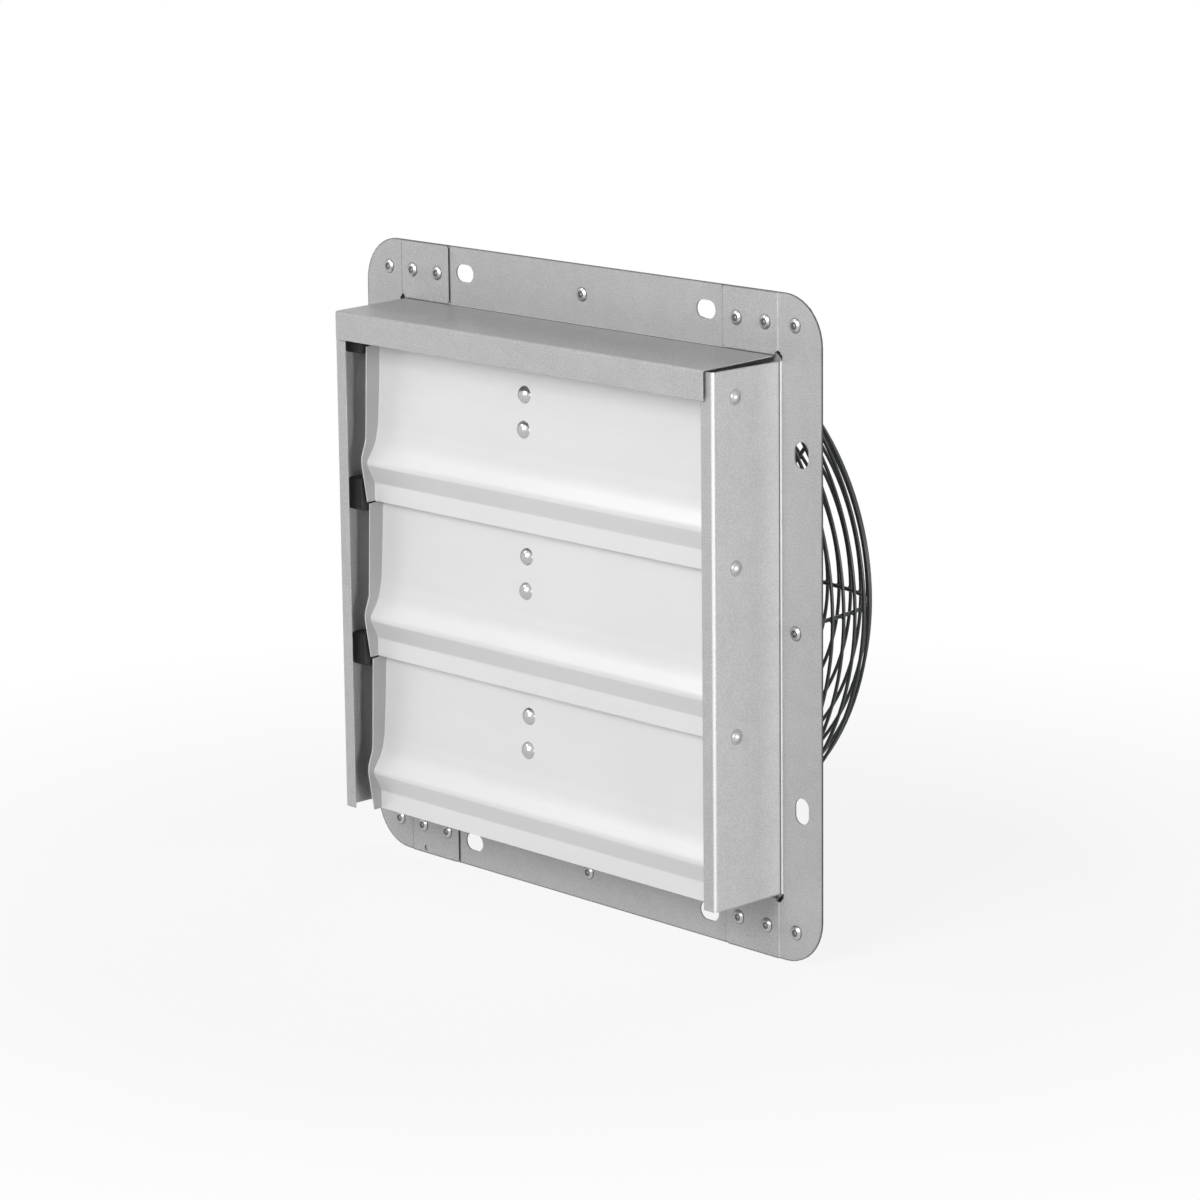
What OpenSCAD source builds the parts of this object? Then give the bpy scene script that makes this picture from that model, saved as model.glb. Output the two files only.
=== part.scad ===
// Wall exhaust fan with a gravity shutter: sheet metal casing, three linked blades,
// a fan panel with an inlet collar, a welded wire guard that carries the motor, and a four blade fan.
// X runs to the right, Y to the room side and Z up. The origin is the centre of the wall slots,
// in the plane of the flange face that bears on the wall.

/* [Flange] */
// Width and height of the square flange
flange_size = 380; // [372:1:420]
// Radius of the flange's outer corners
flange_corner_r = 28; // [6:1:29]
// Thickness of the casing sheet
sheet_t = 0.8; // [0.6:0.05:1]
// Inside radius of the casing folds
fold_r = 1.2; // [0.6:0.1:1.6]
// Length of a wall slot
slot_len = 15; // [12:0.5:18]
// Width of a wall slot
slot_w = 10.5; // [8:0.1:11]
// Distance along a side from the flange edge to the middle of its wall slot
slot_inset = 89; // [86:1:110]
// Distance from the flange edge to the line of the wall slots
slot_edge = 15.5; // [12:0.1:16]

/* [Casing] */
// Width of the flange beside the side channels
flange_side = 31.2; // [30.6:0.1:34]
// Width of the flange above and below the side channels
flange_end = 38.25; // [37:0.05:44]
// Depth of the side channels in front of the flange
casing_depth = 53; // [50:0.5:54]
// Width of the front lip of a side channel
channel_lip = 9; // [6:0.5:9.5]
// Reach of a corner tab along the top and bottom of the flange
tab_len = 42; // [38:0.5:43]
// Gap between the end of a side channel and the edge of its corner tab
tab_gap = 3.3; // [2.5:0.1:4]
// Distance from the outer face of a side channel in to the step of its tab
tab_step = 1.9; // [1.5:0.1:3]
// Radius of the small corners of the tabs
tab_corner_r = 2.5; // [1:0.5:4]
// Diameter of the relief hole at the root of a tab
relief_d = 4; // [3:0.5:5]

/* [Hood and sill] */
// Distance from the outer face of a side channel in to the end of the hood and of the sill
hood_inset = 4.7; // [4.3:0.1:9]
// Depth of the hood in front of the flange
hood_depth = 56; // [55.5:0.1:60]
// Height of the front lip of the hood
hood_lip = 17; // [12:0.5:17.5]
// Fall of the hood top from back to front
hood_fall = 1.5; // [0.5:0.1:1.6]
// Gap between the side channels and the underside of the hood at the back
hood_gap = 2; // [1.8:0.1:2.6]
// Gap between the side channels and the sill
sill_gap = 0.2; // [0.1:0.05:0.5]
// Depth of the sill in front of the flange
sill_depth = 35; // [28:0.5:36.5]
// Height of the turned-up front of the sill
sill_stop = 6; // [4:0.5:7]
// Height of the ears behind the corner tabs
ear_h = 22; // [16:1:23]
// Distance from the flange edge to the end of an ear
ear_edge = 9; // [6:0.5:12]

/* [Shutter blades] */
// Thickness of the blade sheet
blade_t = 0.8; // [0.6:0.05:1]
// Height of a blade above its pivot line
blade_head = 8; // [6:0.5:8.5]
// Overlap of a blade below the pivot line of the next
blade_lap = 4.1; // [2:0.1:4.5]
// Reach of the rib of a blade in front of the pivot rivets
blade_crown = 8.8; // [8:0.1:9.6]
// Gap between the end of a blade and its pivot blocks
blade_gap = 1.5; // [1:0.1:2.5]
// Distance from the top of the side channels down to the top pivot
pivot_drop = 15.45; // [14:0.05:16]
// Distance from the flange forward to the pivot rivets
pivot_depth = 35.5; // [34:0.1:36]
// Distance from the pivot rivets back to the hinge pins
pivot_back = 2.9; // [2.5:0.1:3.1]
// Gap that the blades leave above the bottom of the side channels
blade_foot = 2.15; // [1:0.05:3]
// Diameter of a hinge pin
hinge_pin_d = 4; // [3:0.1:4.4]
// Length of a pivot block
block_len = 12; // [11:0.5:14]
// Depth of a pivot block
block_depth = 20; // [16:0.5:21]
// Height of a pivot block
block_h = 19.5; // [14:0.5:20]

/* [Linkage] */
// Distance from the middle of the casing left to the blade rivets
link_x = 15.5; // [10:0.5:30]
// Width of a link bracket
bracket_w = 14; // [11:0.5:15]
// Thickness of a link bracket
bracket_t = 1.2; // [1:0.1:1.5]
// Reach of a link bracket behind the pivot rivets
link_reach = 26; // [24:0.5:26.5]
// Height of the link pins above the pivot rivets
link_rise = 4; // [3:0.5:5]
// Width of the tie bar
tie_w = 8; // [6:0.5:9]
// Thickness of the tie bar
tie_t = 2; // [1.5:0.1:2.5]
// Diameter of a link pin
link_pin_d = 4; // [3:0.1:4.5]

/* [Fan panel] */
// Distance from the flange edge in to the edge of the fan panel
panel_inset = 23.5; // [22:0.5:26]
// Corner cut of the fan panel
panel_cut = 22; // [20:1:30]
// Distance from the edge of the fan panel in to the collar round the fan
collar_inset = 16.5; // [16:0.5:17.5]
// Depth of the collar behind the flange
collar_depth = 32; // [24:0.5:34]
// Flare of the collar at its end
collar_flare = 5; // [3:0.5:5.5]
// Radius of the bend from the panel into the collar
collar_bend_r = 5; // [3:0.5:6]

/* [Guard] */
// Diameter of the spoke wire
spoke_d = 2.4; // [2.2:0.1:3]
// Diameter of the ring wire
ring_d = 2.1; // [2:0.1:2.6]
// Distance from the inside of the collar out to the foot of a spoke
guard_foot_gap = 14.2; // [14:0.1:15.5]
// Lean of the guard's side in from its foot to its shoulder
guard_lean = 12.9; // [8:0.1:15]
// Depth of the flat centre of the guard behind the flange
guard_depth = 111.4; // [110.5:0.1:118]
// Rise of the guard's back from its shoulder to its flat centre
guard_dome = 15; // [12:0.5:18]
// Bend radius of the shoulder
guard_bend_r = 53; // [30:1:56]
// Radius at which the spokes turn flat
guard_flat_r = 52; // [51:0.5:56]
// Bend radius where the spokes turn flat
guard_flat_bend_r = 12; // [8:0.5:16]
// Inner end of the spokes
guard_inner_r = 24; // [20:0.5:30]
// Distance along a spoke from its foot to the first ring above the foot ring
ring_start = 14.8; // [12:0.1:18]
// Distance between the rings along a spoke
ring_pitch = 10.8; // [10:0.1:14]
// Number of spokes
spoke_count = 8; // [8:8:8]

/* [Motor] */
// Diameter of the motor over its laminated core
motor_d = 93; // [90:0.5:94]
// Diameter of the plate that carries the motor
motor_plate_d = 100; // [98:0.5:101]
// Thickness of the motor plate
motor_plate_t = 2; // [1.6:0.1:2.5]
// Length of the rear cover of the motor
rear_cover_len = 18; // [17:0.5:20]
// Length of the laminated core
core_len = 26; // [22:0.5:28]
// Length of the front cover of the motor
front_cover_len = 15; // [14:0.5:16]
// Wall of the motor covers
cover_t = 2.4; // [2:0.1:3]
// Diameter of the motor shaft
shaft_d = 8; // [7:0.1:9]
// Outer diameter of the bearings
bearing_d = 22; // [20:0.5:24]
// Width of the bearings
bearing_w = 7; // [6:0.5:7.5]
// Air gap between the rotor core and the stator
air_gap = 0.5; // [0.3:0.05:0.8]

/* [Fan] */
// Gap between the blade tips and the collar
tip_gap = 3; // [2:0.1:5]
// Thickness of a fan blade
fan_t = 1.5; // [1.2:0.1:2]
// Pitch of a fan blade
fan_pitch_angle = 22; // [16:1:24]
// Radius of the camber of a fan blade
camber_r = 150; // [130:5:200]
// Gap between the motor and the hub
hub_gap = 11.2; // [9.5:0.1:13]
// Diameter of the hub
hub_d = 34; // [30:0.5:36]
// Length of the hub
hub_len = 24; // [20:0.5:26]
// Thickness of the hub arms
arm_t = 3; // [2.5:0.1:3.5]
// Width of the hub arms
arm_w = 26; // [20:0.5:28]

/* [Fasteners] */
// Diameter of a blind rivet's shank
rivet_d = 4; // [3.2:0.1:4.4]
// Diameter of a blind rivet's head
rivet_head_d = 8; // [6.5:0.1:8.5]
// Height of a blind rivet's head
rivet_head_h = 1.3; // [1:0.1:1.6]
// Distance from the flange edge to the line of rivets
rivet_edge = 17.6; // [16:0.1:18]
// Distance from the flange edge to the outer corner rivet
rivet_side = 20.3; // [19:0.1:21]
// Distance from one corner rivet to the next
rivet_pitch = 22.2; // [20:0.1:23]
// Diameter of a blade rivet's domed head
blade_rivet_d = 10.5; // [8:0.1:11]
// Diameter of a motor bolt
bolt_d = 4; // [3.5:0.1:4.5]
// Diameter of a guard screw
screw_d = 4; // [3.5:0.1:4.5]

/* [Hidden] */
$fn = 64;
// Overrun of every cut
over = 1;
// Angle of one facet of a fold
fold_step = 9;
// Angle of one facet of a blade bend
bend_step = 4;
// Running clearance of a pin or shaft, on the radius
run_fit = 0.05;
// Clearance of a rivet or bolt in its hole, on the radius
hole_fit = 0.05;
// Clearance of a seated or pressed piece, on the radius
seat_fit = 0.02;
// Gap between pieces that lie side by side
side_gap = 0.3;

// Flange and casing
half = flange_size / 2;
slot_pitch = flange_size - 2 * slot_inset;
casing_w = flange_size - 2 * flange_side;
casing_h = flange_size - 2 * flange_end;
rivet_z = half - rivet_edge;
slot_z = half - slot_edge;
web_x = casing_w / 2;
web_z = casing_h / 2;
tab_z = web_z + tab_gap;
step_x = web_x - tab_step;
tab_in = step_x - tab_len;
side_rivet_x = half - rivet_side;
corner_rivet_x = [for (i = [0 : 2]) side_rivet_x - i * rivet_pitch];
drain_d = 3.5;
drain_edge = 3.3;
drain_in = 30;

// Hood and sill
hood_w = casing_w - 2 * hood_inset;
hood_fold_z = web_z + hood_gap + sheet_t / 2;
hood_front_z = hood_fold_z - hood_fall;
hood_lip_z = hood_front_z + sheet_t / 2 - hood_lip;
// Inside radius of the fold at the back of the hood, which stays clear of the corner tabs
hood_back_r = fold_r / 3;
panel_fold_z = hood_fold_z + sheet_t / 2 + hood_back_r;
sill_z = -web_z - sill_gap - sheet_t / 2;
joggle_gap = 0.5;
joggle_x = step_x - sheet_t - joggle_gap;

// Pivots and blades
pivot_y = -pivot_depth;
hinge_y = pivot_y + pivot_back;
blade_pitch = (casing_h - pivot_drop - blade_foot) / 3;
pivot_z = [for (i = [0 : 2]) web_z - pivot_drop - i * blade_pitch];
block_x = web_x - sheet_t - block_len;
blade_x = block_x - blade_gap;
blade_h = blade_pitch + blade_head + blade_lap;
// Front face of a blade, down its height and out from the pivot rivets
blade_shares = [
    [0, -0.84], [0.154, -0.5], [0.372, -0.38], [0.573, -0.22],
    [0.677, 0.06], [0.777, 0.89], [0.897, 0.19], [1, 0.19]
];
blade_bend_shares = [3, 3, 3, 2.4, 0.5, 0.45];
// Front edge of the folded end of a blade
blade_end_shares = [
    [0, 0.05], [0.121, 0.05], [0.126, 0.65], [0.372, 0.75], [0.573, 0.83],
    [0.65, 0.88], [0.74, 1.25], [0.777, 1.28], [0.84, 1.16], [1, 0.84]
];
// Heights of the blade rivets and of the bracket foot, as shares of the blade height
link_rivet_shares = [0.262, 0.451];
bracket_shares = [0.196, 0.372, 0.512];
hinge_pin_seat = block_len / 2;
pivot_rivet_seat = block_len / 2;
dome_r_share = 0.62;

// Linkage
eye_y = pivot_y + link_reach;
eye_r = 1.25 * link_pin_d;
ear_x = -link_x + bracket_w / 2;
tie_x = ear_x + bracket_t + side_gap;
link_head_d = 1.75 * link_pin_d;
link_head_h = 1.2;
link_slack = 0.15;

// Fan panel
panel_y = sheet_t;
panel_back = 2 * sheet_t;
panel_half = half - panel_inset;
collar_r = panel_half - collar_inset;
panel_ear_w = 26;
panel_ear_edge = 14;

// Guard
spoke_r = spoke_d / 2;
ring_r = ring_d / 2;
guard_foot_r = collar_r + guard_foot_gap;
guard_foot_y = panel_back + spoke_r / 3;
guard_shoulder_r = guard_foot_r - guard_lean;
guard_shoulder_y = guard_depth - guard_dome;
side_rise = guard_shoulder_y - guard_foot_y;
side_run = guard_lean;
back_rise = guard_dome;
back_run = guard_shoulder_r - guard_flat_r;
side_a = atan2(side_run, side_rise);
back_a = atan2(back_rise, back_run);
guard_turn = 90 - side_a - back_a;
guard_tangent = guard_bend_r * tan(guard_turn / 2);
side_len = norm([side_run, side_rise]) - guard_tangent;
arc_len = guard_bend_r * guard_turn * PI / 180;
back_len = norm([back_run, back_rise]) - guard_tangent;
arc_r = guard_shoulder_r + guard_tangent * sin(side_a) - guard_bend_r * cos(side_a);
arc_y = guard_shoulder_y - guard_tangent * cos(side_a) - guard_bend_r * sin(side_a);
flat_tangent = guard_flat_bend_r * tan(back_a / 2);
guard_thinning = 0.03;
guard_lap = 0.4;
ring_set = spoke_r + ring_r + seat_fit;
foot_ring_y = panel_back + ring_r + seat_fit;
foot_ring_s = (foot_ring_y - guard_foot_y + ring_set * sin(side_a)) / cos(side_a);
ring_line = [ring_start : ring_pitch : side_len + arc_len + back_len - ring_pitch / 4];
side_line = side_len + arc_len / 2;
clip_angles = [for (i = [0 : 3]) 36 + i * 90];
clip_w = 12;
clip_t = 1;
clip_gap = 0.2;
clip_reach = 11.5;
screw_r = guard_foot_r + clip_reach;
screw_head_d = 7.6;
screw_head_h = 2.4;
screw_len = 10;

// Motor, from its plate forward to the shaft end
plate_back = guard_depth - spoke_r - seat_fit;
plate_front = plate_back - motor_plate_t;
core_back = plate_front - rear_cover_len;
core_front = core_back - core_len;
cover_front = core_front - front_cover_len;
motor_r = motor_d / 2;
cover_r = motor_r - 0.01 * motor_d;
bearing_r = bearing_d / 2;
shaft_r = shaft_d / 2;
housing_r = bearing_r + cover_t;
rear_bearing_y = plate_front - cover_t - bearing_w - side_gap;
front_bearing_y = cover_front + cover_t / 2;
rotor_r = motor_r / 2;
stator_bore = rotor_r + air_gap;
rotor_len = 0.92 * core_len;
coil_count = 8;
coil_r = 4;
coil_in = stator_bore + coil_r / 2;
coil_circle = coil_in + coil_r;
coil_rise = 5.5;
bolt_lug = 1.75 * bolt_d;
bolt_circle = motor_r - 0.8 * bolt_lug;
bolt_angles = [for (i = [0 : 3]) 22.5 + i * 90];
bolt_head_d = 7;
bolt_head_h = 2.6;
nut_w = 7;
nut_h = 3.2;
front_wall_y = core_front - front_cover_len / 3;
bolt_front = front_wall_y - 2 * cover_t;
gland_r = 6;
gland_len = 14;

// Fan
tip_r = collar_r - tip_gap;
fan_y = cover_front - hub_gap - hub_len / 2;
shaft_front = fan_y - 0.375 * hub_len;
fan_root_r = hub_d;
fan_corner_r = 20;
// Width of a fan blade at its root, at its widest and at its tip, as shares of its tip radius
fan_width_shares = [0.34, 0.66, 0.66];
fan_widest_share = 0.72;
arm_reach = 0.54 * tip_r;
fan_rivet_share = 0.243;
fan_rivet_pitch = fan_rivet_share * (arm_reach - fan_root_r);
fan_rivet_r = [for (i = [0 : 2]) arm_reach - (0.7 + i) * fan_rivet_pitch];
fan_rivet_d = 4.8;
fan_rivet_head_d = 9;
fan_rivet_head_h = 2;
fan_angles = [for (i = [0 : 3]) 45 + i * 90];
hub_screw_d = 5;

steel = [0.78, 0.78, 0.79];
steel_dark = [0.66, 0.66, 0.67];
blade_white = [0.9, 0.9, 0.91];
chrome = [0.85, 0.85, 0.86];
nylon = [0.12, 0.12, 0.12];
guard_black = [0.07, 0.07, 0.07];
motor_black = [0.13, 0.13, 0.14];
lamination = [0.42, 0.43, 0.45];
copper = [0.66, 0.36, 0.2];
aluminium = [0.82, 0.83, 0.84];

// Outlines

// Direction from one point to the next
function heading(a, b) = (b - a) / norm(b - a);
// Direction turned to the left by an angle
function turned(d, a) = [d[0] * cos(a) - d[1] * sin(a), d[0] * sin(a) + d[1] * cos(a)];
// Points of the arc that rounds corner q, shifted to the left of the line by off
function corner_arc(p, q, r, radius, off, step) =
    let(
        u = heading(p, q),
        v = heading(q, r),
        turn = atan2(cross(u, v), u * v),
        side = turn < 0 ? -1 : 1,
        cut = radius * tan(abs(turn) / 2),
        centre = q - u * cut + turned(u, 90) * radius * side,
        steps = max(1, ceil(abs(turn) / step))
    )
    [for (i = [0 : steps]) centre + turned(u, 90 + turn * i / steps) * (off - side * radius)];
// One face of a folded sheet, shifted to the left of the path by off
function sheet_face(path, radii, off, step) =
    let(last = len(path) - 1)
    [
        path[0] + turned(heading(path[0], path[1]), 90) * off,
        for (i = [1 : last - 1])
            for (p = corner_arc(path[i - 1], path[i], path[i + 1], radii[i - 1], off, step)) p,
        path[last] + turned(heading(path[last - 1], path[last]), 90) * off
    ];
function reversed(points) = [for (i = [len(points) - 1 : -1 : 0]) points[i]];
// Section of a folded sheet between two shifts from its path
function sheet_section(path, radii, off_a, off_b, step) =
    concat(sheet_face(path, radii, off_a, step), reversed(sheet_face(path, radii, off_b, step)));
// Section of a folded sheet, centred on a path whose folds share one radius
function folded(path, radius, t) =
    sheet_section(path, [for (i = [2 : len(path) - 1]) radius], -t / 2, t / 2, fold_step);
// Closed outline with every corner rounded by its own radius
function rounded(points, radii) =
    let(n = len(points))
    [
        for (i = [0 : n - 1])
            let(before = points[(i + n - 1) % n], after = points[(i + 1) % n])
            for (p = radii[i] == 0 ? [points[i]] :
                corner_arc(before, points[i], after, radii[i], 0, fold_step)) p
    ];

// Flat plate that faces along Y, from depth y on, with its outline in X and Z
module plate(y, t) {
    translate([0, y + t, 0]) rotate([90, 0, 0]) linear_extrude(t) children();
}

// Section in Y and Z, drawn out along X by a width about the middle
module along_x(w) {
    translate([-w / 2, 0, 0]) rotate([90, 0, 90]) linear_extrude(w) children();
}

// Turns a solid that stands on Z so that it runs to the back, along Y
module to_back() {
    rotate([-90, 0, 0]) children();
}

// Round bar along X from a point on
module bar_x(x, y, z, r, h) {
    translate([x, y, z]) rotate([0, 90, 0]) cylinder(r = r, h = h);
}

// Round bar along Y from a point on
module bar_y(x, y, z, r, h) {
    translate([x, y, z]) to_back() cylinder(r = r, h = h);
}

module slot_outline(len, w) {
    square([len - w, w], center = true);
    for (side = [-1, 1]) translate([side * (len - w) / 2, 0]) circle(d = w);
}

// Casing

// Outline of the flange part of a side channel
module channel_flange_outline() {
    inner = web_x + fold_r;
    strip_x = step_x - sheet_t;
    difference() {
        polygon(rounded(
            [
                [strip_x, half], [half, half], [half, -half], [strip_x, -half],
                [strip_x, -tab_z], [inner, -tab_z], [inner, tab_z], [strip_x, tab_z]
            ],
            [0, flange_corner_r, flange_corner_r, 0, 0, 0, 0, 0]
        ));
        for (side = [-1, 1]) {
            translate([slot_z, side * slot_pitch / 2]) rotate(90) slot_outline(slot_len, slot_w);
            translate([side_rivet_x, side * rivet_z]) circle(d = rivet_d + 2 * hole_fit);
        }
        translate([side_rivet_x, 0]) circle(d = rivet_d + 2 * hole_fit);
    }
}

// Outline of the upper corner tab
module tab_outline() {
    difference() {
        polygon(rounded(
            [[tab_in, half], [step_x, half], [step_x, tab_z], [tab_in, tab_z]],
            [tab_corner_r, 0, 0, tab_corner_r]
        ));
        for (i = [1, 2]) translate([corner_rivet_x[i], rivet_z]) circle(d = rivet_d + 2 * hole_fit);
    }
}

module side_channel() {
    sheet_x = web_x - sheet_t / 2;
    sheet_y = sheet_t / 2;
    front_y = -casing_depth + sheet_t / 2;
    difference() {
        union() {
            linear_extrude(casing_h, center = true)
                polygon(folded(
                    [
                        [web_x - channel_lip, front_y], [sheet_x, front_y],
                        [sheet_x, sheet_y], [web_x + 2 * fold_r, sheet_y]
                    ],
                    fold_r + sheet_t / 2, sheet_t
                ));
            plate(0, sheet_t) channel_flange_outline();
            for (side = [0, 1]) mirror([0, 0, side]) {
                plate(-sheet_t, sheet_t) tab_outline();
                translate([step_x - sheet_t, -sheet_t, tab_z]) cube([sheet_t, 2 * sheet_t, half - tab_z]);
            }
        }
        for (side = [-1, 1])
            bar_y(step_x, -sheet_t - over, side * tab_z, relief_d / 2, 2 * (sheet_t + over));
        for (z = pivot_z)
            bar_x(web_x - sheet_t - over, pivot_y, z, rivet_d / 2 + hole_fit, sheet_t + 2 * over);
    }
}

module side_channel_right() {
    color(steel) side_channel();
}

module side_channel_left() {
    color(steel) difference() {
        mirror([1, 0, 0]) side_channel();
        bar_y(-tab_in - drain_in, -sheet_t - over, -half + drain_edge, drain_d / 2, sheet_t + 2 * over);
    }
}

// Upper flange part that the hood and the sill share, with its ears behind the side flanges
module cross_flange() {
    hole_r = rivet_d / 2 + hole_fit;
    ear_end = half - ear_edge;
    plate(0, sheet_t) difference() {
        polygon([[-joggle_x, half], [joggle_x, half], [joggle_x, panel_fold_z], [-joggle_x, panel_fold_z]]);
        for (side = [-1, 1]) {
            translate([side * slot_pitch / 2, slot_z]) slot_outline(slot_len, slot_w);
            for (i = [1, 2]) translate([side * corner_rivet_x[i], rivet_z]) circle(hole_r);
        }
        translate([0, rivet_z]) circle(hole_r);
    }
    for (side = [0, 1]) mirror([side, 0, 0]) {
        translate([joggle_x - sheet_t, 0, rivet_z - ear_h / 2]) cube([sheet_t, 2 * sheet_t, ear_h]);
        plate(sheet_t, sheet_t) difference() {
            polygon(rounded(
                [
                    [joggle_x - sheet_t, rivet_z - ear_h / 2], [ear_end, rivet_z - ear_h / 2],
                    [ear_end, rivet_z + ear_h / 2], [joggle_x - sheet_t, rivet_z + ear_h / 2]
                ],
                [0, tab_corner_r, tab_corner_r, 0]
            ));
            translate([side_rivet_x, rivet_z]) circle(hole_r);
        }
    }
}

module hood_panel() {
    color(steel) {
        cross_flange();
        along_x(hood_w) polygon(sheet_section(
            [
                [-hood_depth + sheet_t / 2, hood_lip_z], [-hood_depth + sheet_t / 2, hood_front_z],
                [sheet_t / 2, hood_fold_z], [sheet_t / 2, panel_fold_z + fold_r]
            ],
            [fold_r + sheet_t / 2, hood_back_r + sheet_t / 2], -sheet_t / 2, sheet_t / 2, fold_step
        ));
    }
}

module sill_panel() {
    color(steel) {
        mirror([0, 0, 1]) cross_flange();
        along_x(hood_w) polygon(folded(
            [
                [-sill_depth, sill_z + sill_stop], [-sill_depth, sill_z],
                [sheet_t / 2, sill_z], [sheet_t / 2, -panel_fold_z - fold_r]
            ],
            fold_r + sheet_t / 2, sheet_t
        ));
    }
}

// Fan panel and its collar

module fan_panel() {
    throat = collar_r + sheet_t / 2;
    mouth = throat + collar_bend_r + fold_r;
    ear_half = panel_ear_w / 2;
    ear_reach = half - panel_ear_edge;
    color(steel_dark) {
        plate(panel_y, sheet_t) difference() {
            union() {
                intersection() {
                    square(2 * panel_half, center = true);
                    rotate(45) square(sqrt(2) * (2 * panel_half - panel_cut), center = true);
                }
                square([2 * ear_reach, panel_ear_w], center = true);
                square([panel_ear_w, 2 * (rivet_z + rivet_head_d)], center = true);
            }
            circle(mouth);
            for (side = [-1, 1]) {
                translate([side * side_rivet_x, 0]) circle(d = rivet_d + 2 * hole_fit);
                translate([0, side * rivet_z]) circle(d = rivet_d + 2 * hole_fit);
            }
            for (a = clip_angles) rotate(-a) translate([screw_r, 0]) circle(d = screw_d + 2 * hole_fit);
        }
        to_back() rotate_extrude($fn = 128) polygon(sheet_section(
            [
                [mouth + fold_r, panel_y + sheet_t / 2], [throat, panel_y + sheet_t / 2],
                [throat, collar_depth - collar_flare], [throat + collar_flare - sheet_t, collar_depth]
            ],
            [collar_bend_r, collar_bend_r], -sheet_t / 2, sheet_t / 2, fold_step
        ));
    }
}

// Rivets

// Blind rivet along Z, its head below the seat plane and its closed end beyond the grip
module blind_rivet(grip) {
    r = rivet_d / 2;
    head_r = rivet_head_d / 2;
    hollow_r = 0.65 * r;
    rim = 0.25 * rivet_head_h;
    rotate_extrude() polygon([
        [hollow_r, 0], [hollow_r, -rivet_head_h], [1.3 * r, -rivet_head_h],
        [0.8 * head_r, -0.72 * rivet_head_h], [head_r, -rim], [head_r, 0], [r, 0], [r, grip],
        [1.35 * r, grip], [1.5 * r, grip + 0.5 * r], [1.3 * r, grip + 1.4 * r],
        [0.6 * r, grip + 1.7 * r], [0, grip + 1.7 * r], [0, 0]
    ]);
}

// Solid rivet along Z with a domed head of its own radius below the seat plane
module dome_rivet(head_r, r, length) {
    rise = dome_r_share * head_r;
    ball = (head_r * head_r + rise * rise) / (2 * rise);
    intersection() {
        translate([0, 0, ball - rise]) sphere(ball);
        translate([0, 0, -rise]) cylinder(r = head_r, h = rise);
    }
    translate([0, 0, -rise / 2]) cylinder(r = r, h = length + rise / 2);
}

module corner_rivets() {
    color(chrome)
    for (x_side = [-1, 1])
        for (z_side = [-1, 1])
            for (i = [0 : 2])
                translate([x_side * corner_rivet_x[i], i == 0 ? 0 : -sheet_t, z_side * rivet_z])
                    to_back() blind_rivet(2 * sheet_t);
}

module panel_rivets() {
    color(chrome)
    for (side = [-1, 1]) {
        translate([side * side_rivet_x, 0, 0]) to_back() blind_rivet(2 * sheet_t);
        translate([0, 0, side * rivet_z]) to_back() blind_rivet(2 * sheet_t);
    }
}

module pivot_rivets() {
    color(chrome)
    for (side = [0, 1]) mirror([side, 0, 0])
        for (z = pivot_z)
            translate([web_x, pivot_y, z]) rotate([0, -90, 0])
                dome_rivet(rivet_head_d * 0.44, rivet_d / 2, sheet_t + pivot_rivet_seat - seat_fit);
}

// Pivot blocks

module pivot_block(z) {
    chamfer = block_h / 10;
    difference() {
        translate([block_x, pivot_y, z]) rotate([90, 0, 90]) linear_extrude(block_len)
            polygon(rounded(
                [
                    [-block_depth / 2, -block_h / 2], [block_depth / 2, -block_h / 2],
                    [block_depth / 2, block_h / 2], [-block_depth / 2, block_h / 2]
                ],
                [chamfer, chamfer, chamfer, chamfer]
            ));
        bar_x(
            block_x - over, hinge_y, z, hinge_pin_d / 2 + run_fit,
            hinge_pin_seat - blade_gap + side_gap + over
        );
        bar_x(
            web_x - sheet_t - pivot_rivet_seat, pivot_y, z, rivet_d / 2 + hole_fit,
            pivot_rivet_seat + over
        );
    }
}

module pivot_block_right(i) {
    color(nylon) pivot_block(pivot_z[i]);
}

module pivot_block_left(i) {
    color(nylon) mirror([1, 0, 0]) pivot_block(pivot_z[i]);
}

// Shutter blades

// Place on a blade from shares of its height and of its crown, in Y and Z about its pivot
function blade_point(share) = [-share[1] * blade_crown, blade_head - share[0] * blade_h];
// Reach of the blade's front face at a share of its height
function blade_reach(s) =
    [for (i = [1 : len(blade_shares) - 1])
        if (s >= blade_shares[i - 1][0] && s <= blade_shares[i][0])
            let(f = (s - blade_shares[i - 1][0]) / (blade_shares[i][0] - blade_shares[i - 1][0]))
            blade_shares[i - 1][1] + f * (blade_shares[i][1] - blade_shares[i - 1][1])][0];
// Slope of the blade's front face at a share of its height, in degrees
function blade_slope(s) =
    let(step_share = 0.01, a = blade_point([s - step_share, blade_reach(s - step_share)]),
        b = blade_point([s + step_share, blade_reach(s + step_share)]))
    atan2(a[0] - b[0], a[1] - b[1]);

module at_pivot(i) {
    translate([0, pivot_y, pivot_z[i]]) children();
}

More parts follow.
